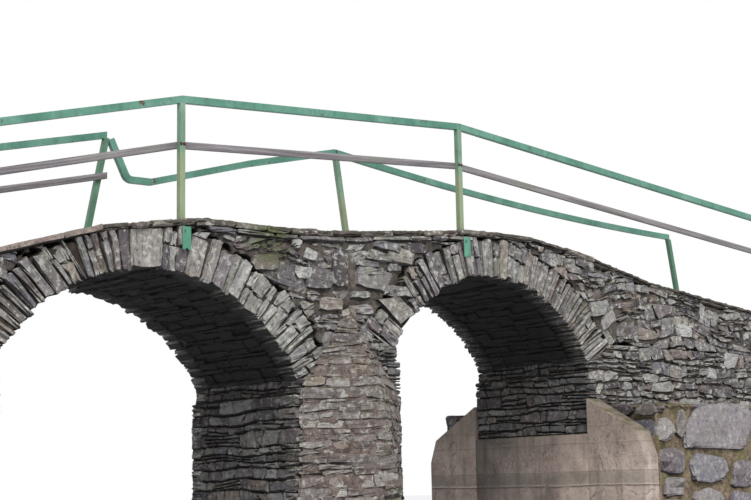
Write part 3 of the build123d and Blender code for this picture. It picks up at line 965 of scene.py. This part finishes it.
brown_mortar = mortar_finish("brown_mortar", ((98, 86, 82), (136, 121, 115), (170, 155, 147)))
cutwater_tones = (
    (122, 110, 107), (152, 142, 137), (168, 157, 148), (138, 129, 128),
    (158, 151, 143), (194, 188, 180), (132, 118, 115), (174, 159, 146),
)
cutwater_stone = stone_finish("cutwater_schist", cutwater_tones, lichen=0.75)
cap_z = 1.12
cap_reach = 0.43
for side, sign in sides:
    low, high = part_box(f"{side}_cutwater")
    reach_foot = high.y - low.y

    def outline(z):
        """Half width and reach of the cutwater at a height."""
        if z < cap_z:
            share = z / cap_z
            return high.x + (pier_half - high.x) * share, reach_foot + (cap_reach - reach_foot) * share
        share = (z - cap_z) / (high.z - cap_z)
        return pier_half * (1 - share), cap_reach * (1 - share)

    layers = []
    for hand in (-1, 1):

        def on_flank(u, v, depth):
            half, reach = (max(size, 0.001) for size in outline(v))
            flank = math.hypot(half, reach)
            x = half * (1 - u) + reach / flank * depth
            y = reach * u + half / flank * depth
            return hand * x, sign * (face_y + y), v + 0.25 * depth

        rng = np.random.default_rng(51 + hand)
        course_rng = np.random.default_rng(55)
        quads = []
        z = 0.0
        while z < high.z - 0.02:
            top = min(z + course_rng.choice([0.03, 0.045, 0.06, 0.08, 0.11]), high.z)
            flank = math.hypot(*outline((z + top) / 2))
            shares = uneven_marks(max(1, round(flank / rng.uniform(0.15, 0.32))), 0.6, 1.4, rng)
            for left, right in zip(shares, shares[1:]):
                rise = rng.uniform(-0.006, 0.006)
                quads.append([(left, z), (right, z + rise), (right, top + rise), (left, top)])
            z = top
        quads = loosen(quads, 0.035, 0.014, rng)
        look = dict(thick=0.12, joint=0.005, proud=0.018, arris=0.007, chip=0.008, rubble=0.4)
        layers.append(lay_wall(quads, on_flank, rng, **look))
    look = dict(bed_finish=brown_mortar, stone=cutwater_stone, cell=0.03, depth=0.045, level=0.9)
    finish_masonry(f"{side}_cutwater", "pier_stone", layers, **look)


# Rubble fill. The space between the two faces is packed with loose stone, which shows only
# where the bridge is cut off at its two ends.

rng = np.random.default_rng(61)
layers = [
    end_wall(x, sign, low, float(masonry_top(x)), rng, core_y)
    for x, sign, low in ((left_end, -1, left_seat_z), (right_end, 1, right_seat_z))
]
finish_masonry("rubble_fill", "core_rubble", layers, cell=0.06)


# Coping. Each edge of the deck is finished with a row of thin flat stones, bedded level
# with the path; toward the left end they are capped in long sections of cast mortar.

coping_tones = ((122, 112, 104), (150, 140, 130), (134, 128, 116), (176, 166, 154))
# The coping stones' undersides get only a quarter of the painted shade below.
coping_stone = stone_finish("mossy_coping_stone", coping_tones, lichen=0.8, moss=1.3, shade_below=0.25)
cap_mortar = mortar_finish("cap_mortar", ((148, 133, 127), (174, 159, 150), (200, 187, 177)), moss=0.3)
coping_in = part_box("far_coping")[0].y
coping_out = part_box("far_coping")[1].y
cap_end = -2.42
for side, sign in sides:
    rng = np.random.default_rng(71 + sign)
    caps = []
    flags = []
    x = left_end
    while x < right_end - 0.05:
        capped = x < cap_end
        end = x + (rng.uniform(0.45, 0.85) if capped else rng.uniform(0.14, 0.5))
        end = cap_end if capped and end > cap_end - 0.3 else end
        end = end if end < right_end - 0.12 else right_end
        edge = coping_out - rng.uniform(0, 0.006 if capped else 0.034)
        split = rng.uniform(0.35, 0.7) if rng.uniform() < 0.35 and not capped else 1
        middle = edge + (coping_in - edge) * split
        row = caps if capped else flags
        row.append([(x, edge), (end, edge), (end, middle), (x, middle)])
        if split < 1:
            row.append([(x, middle), (end, middle), (end, coping_in), (x, coping_in)])
        x = end

    def on_deck(u, v, depth):
        return u, sign * v, float(deck_top(u)) + depth

    cap_layer = lay_wall(caps, on_deck, rng, proud=0.005, thick=0.058, joint=0.006, arris=0.014, chip=0.006)
    flag_layer = lay_wall(flags, on_deck, rng, proud=0.014, thick=0.052, joint=0.01, chip=0.011)
    cap_layer.data.materials.append(cap_mortar)
    look = dict(stone=coping_stone, cell=0.025, depth=0.03, level=0.95)
    finish_masonry(f"{side}_coping", "coping_mortar", [flag_layer, cap_layer], **look)


# Path. Trodden earth and small loose stones lie on the fill between the two copings, with
# most of the stones pushed out toward the edges.

earth = Finish("trodden_earth")
clods = earth.noise(5.0, 6.0, 0.6)
grit = earth.noise(60.0, 5.0, 0.7)
earth.base = earth.ramp(((92, 80, 62), (122, 108, 84), (140, 128, 96)), (clods, 0.3, 0.7))
earth.coat("grit", (0.6, 0.58, 0.52, 1), 1, (grit, 0.65, 0.35), kind="MULTIPLY")
trodden_earth = earth.dress(0.97, [(clods, 0.03), (grit, 0.01)])

rng = np.random.default_rng(81)
path_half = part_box("deck_path")[1].y
path_drop = 0.01
square = ((-1, -1), (1, -1), (1, 1), (-1, 1))
pebbles = []
for _ in range(800):
    x = rng.uniform(left_end + 0.03, right_end - 0.03)
    y = path_half * rng.choice([-1, 1]) * rng.uniform(0.1, 0.97) ** 0.6
    length = rng.uniform(0.012, 0.045)
    width = length * rng.uniform(0.5, 0.9)
    angle = rng.uniform(0, math.pi)
    along = np.array([math.cos(angle), math.sin(angle)]) * length / 2
    across = np.array([-math.sin(angle), math.cos(angle)]) * width / 2
    middle = np.array([x, y])
    pebbles.append([tuple(middle + a * along + b * across) for a, b in square])


def on_path(u, v, depth):
    return u, v, float(deck_top(u)) - path_drop + depth


gravel = lay_wall(pebbles, on_path, rng, proud=0.01, thick=0.02, joint=0, arris=0.02, chip=0.004)
finish_masonry("deck_path", "path_earth", [gravel], trodden_earth, depth=0.02)


# Concrete. The foot of the right jamb was refaced in concrete, with wing walls of the same
# pour; the boards of the shuttering left level ridges, and rain has streaked and stained it.

board_heights = (
    (0.14, 0.2), (0.285, 1.0), (0.425, 0.3), (0.56, 0.12),
    (0.7, 0.35), (0.86, 0.2), (1.0, 0.12),
)


def concrete_finish(name, shade):
    concrete = Finish(name)
    broad = concrete.noise(1.7, 6.0, 0.65)
    blotch = concrete.noise(7.0, 6.0, 0.7)
    gravel = concrete.noise(34.0, 6.0, 0.8)
    grit = concrete.noise(75.0, 5.0, 0.75)
    runs = concrete.noise(1.0, 5.0, 0.65, concrete.stretched((5, 5, 0.7)))
    washed = (concrete.noise(2.6, 5.0, 0.7), 0.44, 0.56)
    height = concrete.part(concrete.place, "Z")
    level = concrete.reckon("MULTIPLY_ADD", concrete.noise(1.1, 3.0), 0.05, height)
    tones = ((136, 120, 112), (180, 161, 151), (212, 193, 181), (167, 151, 142))
    concrete.base = concrete.ramp(tones, (broad, 0.32, 0.68))
    concrete.coat("runs", (92, 89, 78), 0.6, (runs, 0.48, 0.64))
    concrete.coat("pale blotch", (196, 174, 152), 0.5, (blotch, 0.54, 0.66))
    concrete.coat("dark blotch", (104, 94, 86), 0.45, (blotch, 0.45, 0.34))
    concrete.coat("dark grit", (84, 74, 68), 0.6, (grit, 0.42, 0.32))
    concrete.coat("pale grit", (206, 194, 180), 0.5, (grit, 0.6, 0.7))
    concrete.coat("washed hollows", (88, 76, 70), 0.65, (gravel, 0.47, 0.38), washed)
    concrete.coat("washed gravel", (204, 186, 172), 0.6, (gravel, 0.54, 0.62), washed)
    concrete.coat("damp board", (112, 110, 98), 0.42, (level, 0.312, 0.322), (level, 0.46, 0.42))
    concrete.coat("shed dirt", (96, 90, 74), 0.6, (level, 0.5, 0.9), (broad, 0.38, 0.56))
    concrete.coat("pale foot", (196, 174, 164), 0.3, (level, 0.3, 0.08))
    boards = 0.0
    broken = (blotch, 0.36, 0.5)
    # Each board mark is a ridge with a painted highlight along its top and a painted shadow under it.
    for board, strength in board_heights:
        rise = concrete.reckon("SUBTRACT", level, board + 0.025)
        lit_ridge = ((rise, 0.024, 0.012), (rise, -0.001, 0.003), broken)
        shadow = ((rise, -0.022, -0.006), (rise, 0.003, -0.001), broken)
        concrete.coat("lit_ridge", (208, 192, 180), 0.6 * strength**2, *lit_ridge)
        concrete.coat("ridge shadow", (72, 62, 58), 0.7 * strength, *shadow)
        step = concrete.reckon("MULTIPLY", concrete.mask(rise, -0.004, 0.004), strength)
        boards = concrete.reckon("ADD", boards, step)
    warp = concrete.add("TexNoise", "Color", {"Vector": concrete.place, "Scale": 3.0})
    wandering = concrete.add("Mix", 2, {0: 0.2, 6: concrete.place, 7: warp}, data_type="RGBA")
    to_edge = dict(feature="DISTANCE_TO_EDGE")
    cracks = concrete.add("TexVoronoi", "Distance", {"Vector": wandering, "Scale": 1.1}, **to_edge)
    concrete.coat("cracks", (60, 52, 48), 0.8, (cracks, 0.007, 0.0), (broad, 0.55, 0.6))
    concrete.coat("moss on top", (92, 92, 56), 0.85, (concrete.facing_up(), 0.2, 0.8), (blotch, 0.4, 0.56))
    inward = concrete.part(concrete.place, "Y")
    concrete.coat("shade", (0.02, 0.02, 0.018, 1), shade, (inward, -1.0, 0.9))
    return concrete.dress(0.9, [(boards, 0.008), (blotch, 0.02), (gravel, 0.014), (grit, 0.006)])


def soften_edges(node, width):
    """A copy of the node with its edges worn to a small round."""
    piece = copy_of(node, node + "_worn")
    open_mesh(piece)
    bpy.ops.mesh.dissolve_limited(angle_limit=math.radians(1))
    close_mesh()
    apply_modifier(piece, "worn_edge", "BEVEL", width=width, segments=2, limit_method="ANGLE")
    bpy.ops.object.shade_smooth_by_angle(angle=math.radians(40))
    return piece


open_concrete = concrete_finish("board_marked_concrete", 0)
shaded_concrete = concrete_finish("shaded_concrete", 0.75)
for node in ("concrete_facing", "near_wing_wall", "far_wing_wall"):
    piece = soften_edges(node, 0.012)
    piece.data.materials.append(shaded_concrete if node == "concrete_facing" else open_concrete)
    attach(piece, "root")
    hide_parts(node)


# Bank walls. Beside the right approach the bank is held by big field boulders, set in a
# sandy mortar that fills the wide gaps between them.

boulder_tones = (
    (106, 97, 103), (130, 120, 125), (142, 133, 122),
    (120, 122, 133), (151, 142, 149), (167, 160, 154),
)
boulder_stone = stone_finish("field_boulders", boulder_tones, lichen=0.5, moss=0.7, laminated=0.35)
sandy_mortar = mortar_finish("sandy_mortar", ((116, 102, 84), (150, 134, 112), (176, 158, 132)), earthy=0.8)
bank_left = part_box("far_retaining_wall")[0].x
bank_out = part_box("far_retaining_wall")[1].y

bpy.ops.mesh.primitive_cube_add(size=2)
boulder = bpy.context.object
open_mesh(boulder)
bpy.ops.mesh.bevel(offset=0.22, segments=2, affect="EDGES")
bpy.ops.mesh.subdivide(number_cuts=1)
close_mesh()
apply_modifier(boulder, "rolled", "SMOOTH", factor=0.5, iterations=3)
boulder_points, boulder_faces = take_pattern(boulder)
boulder_points /= abs(boulder_points).max()


def lay_boulders(quads, at, rng):
    """Rounded field stones, each swelled and knobbled to its own shape in its quad."""
    count = len(quads)
    front = -rng.uniform(0.0, 0.014, count)
    slots = slot_corners(quads, front, front - rng.uniform(0.16, 0.22, count), at)
    middle = slots.mean(axis=(1, 2, 3))
    reaches = [span.mean(axis=(1, 2)) / 2 for span in spans_of(slots)]
    lean = (slots[:, 1, 1] - slots[:, 0, 1] - slots[:, 1, 0] + slots[:, 0, 0]).mean(axis=1) / 4
    waves = rng.normal(0, 1.5, (count, 5, 3))
    phase = rng.uniform(0, full_turn, (count, 5, 1))
    swell = np.sin(waves @ boulder_points.T + phase).mean(axis=1)
    body = boulder_points[None] * (1 + 0.3 * swell[:, :, None])
    body[..., :2] = knock_off_corners(body[..., :2], rng, 1.1)
    body = body + rng.uniform(-0.03, 0.03, body.shape)
    points = middle[:, None] + body[..., 0:1] * body[..., 1:2] * lean[:, None]
    for axis, reach in enumerate(reaches):
        points = points + body[..., axis, None] * reach[:, None]
    return stone_mesh(points, body * 0.2, rng, pattern=boulder_faces)


seen_boulders = (
    ([(3.68, 0.62), (4.72, 0.58), (4.76, 1.07), (3.74, 1.07)], 0.85),
    ([(3.2, 0.7), (3.46, 0.67), (3.5, 0.9), (3.22, 0.94)], 0.95),
    ([(3.2, 0.36), (3.58, 0.34), (3.62, 0.62), (3.26, 0.65)], 0.15),
    ([(3.68, 0.3), (4.28, 0.27), (4.32, 0.54), (3.72, 0.59)], 0.72),
    ([(3.28, 0.15), (3.62, 0.16), (3.6, 0.33), (3.34, 0.35)], 0.9),
    ([(3.51, 0.72), (3.66, 0.7), (3.68, 0.98), (3.53, 1.02)], 0.45),
    ([(3.7, 0.02), (4.24, 0.01), (4.18, 0.25), (3.74, 0.26)], 0.9),
    ([(3.2, 0.01), (3.64, 0.02), (3.6, 0.14), (3.24, 0.14)], 0.4),
    ([(4.36, 0.23), (4.76, 0.21), (4.8, 0.54), (4.4, 0.5)], 0.2),
    ([(4.3, 0.01), (4.78, 0.02), (4.74, 0.18), (4.34, 0.2)], 0.75),
)
seen_until = 4.85


def against_wing(point):
    return point.x < bank_left + 0.03 and point.z < 0.75 or abs(point.y) < face_y + 0.03


def bank_quads(u_from, u_to, v_from, v_to, kept, rng):
    quads = rough_courses(u_from, u_to, v_from, v_to, rng, (0.2, 0.34), (0.16, 0.34), (0.16, 0.34))
    return [quad for quad in with_joints(quads, 0.045, rng) if rng.uniform() < kept]


for side, sign in sides:
    rng = np.random.default_rng(91 + sign)

    def on_bank(u, v, depth):
        return u, sign * (bank_out + depth), v

    def on_crest(u, v, depth):
        return u, sign * v, bank_top + depth

    face_from = seen_until if side == "near" else bank_left
    depths = sorted((sign * face_y, sign * bank_out))
    layers = [
        lay_boulders(bank_quads(*place, rng), at, rng)
        for place, at in (
            ((face_from, right_end, 0.01, bank_top, 0.86), on_bank),
            ((bank_left, right_end, face_y, bank_out, 0.3), on_crest),
            ((*depths, 0.01, bank_top, 0.86), on_jamb(right_end, 1)),
            ((*depths, 0.72, bank_top, 1), on_jamb(bank_left, -1)),
        )
    ]
    if side == "near":
        seen = lay_boulders([corners for corners, _ in seen_boulders], on_bank, rng)
        give_tones(seen, [tone for _, tone in seen_boulders], boulder_points, least_shade=0.7)
        layers.append(seen)
    look = dict(bed_finish=sandy_mortar, stone=boulder_stone, level=1.3, held=against_wing)
    finish_masonry(f"{side}_retaining_wall", "boulder_stone", layers, **look)


# Railing paint. The steel is brush-painted in teal green that has chalked, with rust
# where it has flaked; the posts are duller and their lower parts yellow with lichen.


def paint_finish(name, tints, rust_from, lichen_below=None):
    paint = Finish(name)
    cloud = paint.noise(4.0, 5.0, 0.6)
    fine = paint.noise(45.0, 5.0, 0.7)
    runs = paint.noise(1.0, 4.0, 0.6, paint.stretched((30, 30, 4)))
    paint.base = paint.ramp(tints, (cloud, 0.3, 0.7))
    paint.coat("runs", (70, 92, 80), 0.35, (runs, 0.5, 0.7))
    if lichen_below:
        height = paint.part(paint.place, "Z")
        low = (height, lichen_below, lichen_below - 0.12)
        paint.coat("lichen", (150, 156, 116), 0.8, low, (fine, 0.3, 0.55))
    rust = paint.mask(paint.noise(11.0, 6.0, 0.7), rust_from, rust_from + 0.05)
    paint.coat("rust", paint.ramp(((56, 42, 34), (96, 68, 50), (122, 88, 64)), fine), 1, rust)
    roughness = paint.add("MapRange", "Result", {"Value": rust, "To Min": 0.5, "To Max": 0.9})
    return paint.dress(roughness, [(cloud, 0.002), (fine, 0.001), (rust, 0.0015)])


rail_tints = ((66, 118, 100), (88, 140, 120), (112, 158, 140))
post_tints = ((98, 134, 110), (120, 152, 128), (140, 166, 144))
shaded_post_tints = ((66, 104, 84), (82, 122, 98), (100, 138, 112))
# Two far posts have no lichen and take darker tints, which are painted shade.
shaded_bare_posts = ("far_post_2", "far_post_4")
post_foot = 0.3
rail_paint = paint_finish("chalked_green_paint", rail_tints, 0.62)
for node in nodes:
    if node.endswith("top_rail"):
        paint = rail_paint
    elif node in shaded_bare_posts:
        paint = paint_finish(node + "_paint", shaded_post_tints, 0.64)
    elif "_post_" in node:
        low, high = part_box(node)
        crust_height = low.z + post_foot + (high.z - low.z - post_foot) * 0.62
        paint = paint_finish(node + "_paint", post_tints, 0.64, crust_height)
    else:
        continue
    nodes[node].data.materials.clear()
    nodes[node].data.materials.append(paint)


# Mid rails. Sawn boards bolted behind the posts, bare and weathered silver to mauve grey,
# with the grain standing out along them.

timber = Finish("silvered_timber")
along_board = timber.add("Attribute", "Vector", attribute_name="grain")
grain = timber.noise(1.0, 6.0, 0.65, timber.stretched((1.5, 70, 70), along_board))
fine_grain = timber.noise(1.0, 3.0, 0.65, timber.stretched((5, 260, 260), along_board))
timber.base = timber.ramp(((88, 81, 85), (132, 126, 129), (166, 160, 162)), (grain, 0.3, 0.7))
timber.coat("open grain", (66, 62, 60), 0.6, (fine_grain, 0.55, 0.7))
timber.coat("green film", (128, 132, 112), 0.45, (timber.noise(2.2), 0.5, 0.7))
bare_timber = timber.dress(0.85, [(grain, 0.004), (fine_grain, 0.002)])


def post_middle(number):
    low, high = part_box(f"near_post_{number}")
    return (low.x + high.x) / 2


post_places = [post_middle(number) for number in (1, 2, 3, 4)]
for node, board_joins in (("near_mid_rails", post_places), ("far_left_mid_rail", [])):
    boards = soften_edges(node, 0.004)
    points = points_of(boards)
    grain_places = points.copy()
    ends = [-math.inf, *board_joins, math.inf]
    for first, last in zip(ends, ends[1:]):
        own = (points[:, 0] >= first) & (points[:, 0] < last)
        if own.sum() > 3 and np.ptp(points[own, 0]) > 0.5:
            line = np.polyfit(points[own, 0], points[own, 2], 1)
            grain_places[own, 2] -= np.polyval(line, points[own, 0])
    along_grain = boards.data.attributes.new("grain", "FLOAT_VECTOR", "POINT")
    along_grain.data.foreach_set("vector", grain_places.ravel())
    boards.data.materials.append(bare_timber)
    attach(boards, "root")
    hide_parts(node)


# Bolts. Two coach bolts go through each near post, one into each board that meets behind
# it; their hexagon heads and washers are rusted brown.

rusted = Finish("rusted_steel")
scale = rusted.noise(120.0, 5.0, 0.7)
rusted.base = rusted.ramp(((44, 30, 26), (84, 52, 38), (122, 78, 52)), (scale, 0.3, 0.7))
rusted_steel = rusted.dress(0.8, [(scale, 0.001)], Metallic=0.2)

sideways = (math.pi / 2, 0, 0)
bpy.ops.mesh.primitive_cylinder_add(vertices=16, radius=0.014, depth=0.003, rotation=sideways)
washer = bpy.context.object
bpy.ops.mesh.primitive_cylinder_add(
    vertices=6, radius=0.009, depth=0.007, location=(0, -0.003, 0), rotation=sideways
)
head = bpy.context.object
open_mesh(head)
bpy.ops.mesh.bevel(offset=0.0012, segments=1, affect="EDGES")
close_mesh()
join(head, washer)
bpy.ops.object.transform_apply(location=True, rotation=True, scale=True)
head.data.materials.append(rusted_steel)

# The boards end at the first and the last post, which have one bolt each.
no_board = ((1, "left"), (4, "right"))
boards = points_of(nodes["near_mid_rails"])
for number, post_x in enumerate(post_places, 1):
    low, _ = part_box(f"near_post_{number}")
    close = boards[abs(boards[:, 0] - post_x) < 0.01, 2]
    board_z = (close.min() + close.max()) / 2
    for hand, name in ((-1, "left"), (1, "right")):
        if (number, name) in no_board:
            continue
        bolt = add_object(f"bolt_{number}_{name}", head.data.copy())
        for point in bolt.data.vertices:
            point.co += Vector((post_x + hand * 0.015, low.y - 0.0015, board_z))
        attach(bolt, "root")
bpy.data.objects.remove(head)


# Foot plates. Each post is tied to the face under the coping by a thick painted plate with
# an oval bolt hole near its top and an open notch below.

plate_tints = ((68, 130, 106), (84, 148, 122), (104, 164, 140))
plate_paint = paint_finish("bright_plate_paint", plate_tints, 0.62)
plate_width = 0.08
plate_height = 0.19
bolt_hole = (-0.016, 0.05, 0.016, 0.036)
notch = (0.002, -0.095, 0.022, 0.03)
round_cutter = dict(vertices=20, radius=0.5, depth=0.1, rotation=sideways)
for side, sign in sides:
    node = f"{side}_foot_plates"
    low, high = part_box(node)
    corners = points_of(nodes[node])
    corners = corners[corners[:, 0].argsort(kind="stable")]
    plates = []
    for own in np.split(corners, np.flatnonzero(np.diff(corners[:, 0]) > 0.2) + 1):
        x = own[:, 0].mean()
        z = (own[:, 2].min() + own[:, 2].max()) / 2
        bpy.ops.mesh.primitive_cube_add(size=1, location=(x, (low.y + high.y) / 2, z))
        plate = bpy.context.object
        plate.scale = (plate_width, high.y - low.y, plate_height)
        select_only(plate)
        bpy.ops.object.transform_apply(location=True, rotation=True, scale=True)
        for cut_x, cut_z, wide, tall in (bolt_hole, notch):
            bpy.ops.mesh.primitive_cylinder_add(location=(x + cut_x, low.y, z + cut_z), **round_cutter)
            cutter = bpy.context.object
            cutter.scale = (wide, tall, 1)
            select_only(plate)
            apply_modifier(plate, "hole", "BOOLEAN", object=cutter, solver="EXACT")
            bpy.data.objects.remove(cutter)
        plates.append(plate)
    joined = join(*plates)
    joined.name = f"{side}_tie_plates"
    apply_modifier(joined, "worn_edge", "BEVEL", width=0.0015, limit_method="ANGLE")
    joined.data.materials.append(plate_paint)
    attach(joined, "root")
    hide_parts(node)


# Stage: a plain pale floor with white behind it, soft light from above and to the left.

bpy.ops.mesh.primitive_plane_add(size=80, location=(0, 0, -0.001))
floor = bpy.context.object
floor.name = "floor"
pale_floor = Finish("pale_floor")
pale_floor.base = (0.8, 0.8, 0.8, 1)
floor.data.materials.append(pale_floor.dress(0.9, []))

world = bpy.data.worlds.new("studio")
bpy.context.scene.world = world
world.use_nodes = True
tree = world.node_tree
soft_light = tree.nodes["Background"]
feed(tree, soft_light, {"Color": (0.92, 0.95, 1.0, 1), "Strength": 0.5})
white = add_node(tree, "Background", "Background", {"Color": (1, 1, 1, 1), "Strength": 1.0})
shown = add_node(tree, "LightPath", "Is Camera Ray", {})
for ray in ("Is Glossy Ray", "Is Transmission Ray"):
    also = add_node(tree, "LightPath", ray, {})
    shown = add_node(tree, "Math", "Value", {0: shown, 1: also}, operation="MAXIMUM")
mixed = add_node(tree, "MixShader", "Shader", {0: shown, 1: soft_light.outputs["Background"], 2: white})
feed(tree, tree.nodes["World Output"], {"Surface": mixed})

sun_data = bpy.data.lights.new("soft_sun", "SUN")
sun_data.energy = 2.6
sun_data.angle = math.radians(35)
sun = add_object("soft_sun", sun_data)
sun.rotation_euler = (math.radians(38), math.radians(-22), 0)

# Camera at the photograph's place: low on the left bank, turned 40 degrees along the
# bridge and tilted up, with the slight roll that the leaning horizon of the posts gives.

camera_place = (-8.008, -10.735, 0.277)
turn = 0.69733
rise = 0.16126
roll = 0.01853
forward = np.array([math.sin(turn) * math.cos(rise), math.cos(turn) * math.cos(rise), math.sin(rise)])
level = np.array([math.cos(turn), -math.sin(turn), 0.0])
upward = np.cross(level, forward)
right = level * math.cos(roll) - upward * math.sin(roll)
up = level * math.sin(roll) + upward * math.cos(roll)
camera_data = bpy.data.cameras.new("camera")
camera_data.lens = 70.7
camera_data.sensor_width = 36
camera = add_object("camera", camera_data)
camera.matrix_world = [(*right, 0), (*up, 0), (*-forward, 0), (*camera_place, 1)]
bpy.context.scene.camera = camera
bpy.context.scene.view_settings.view_transform = "Standard"
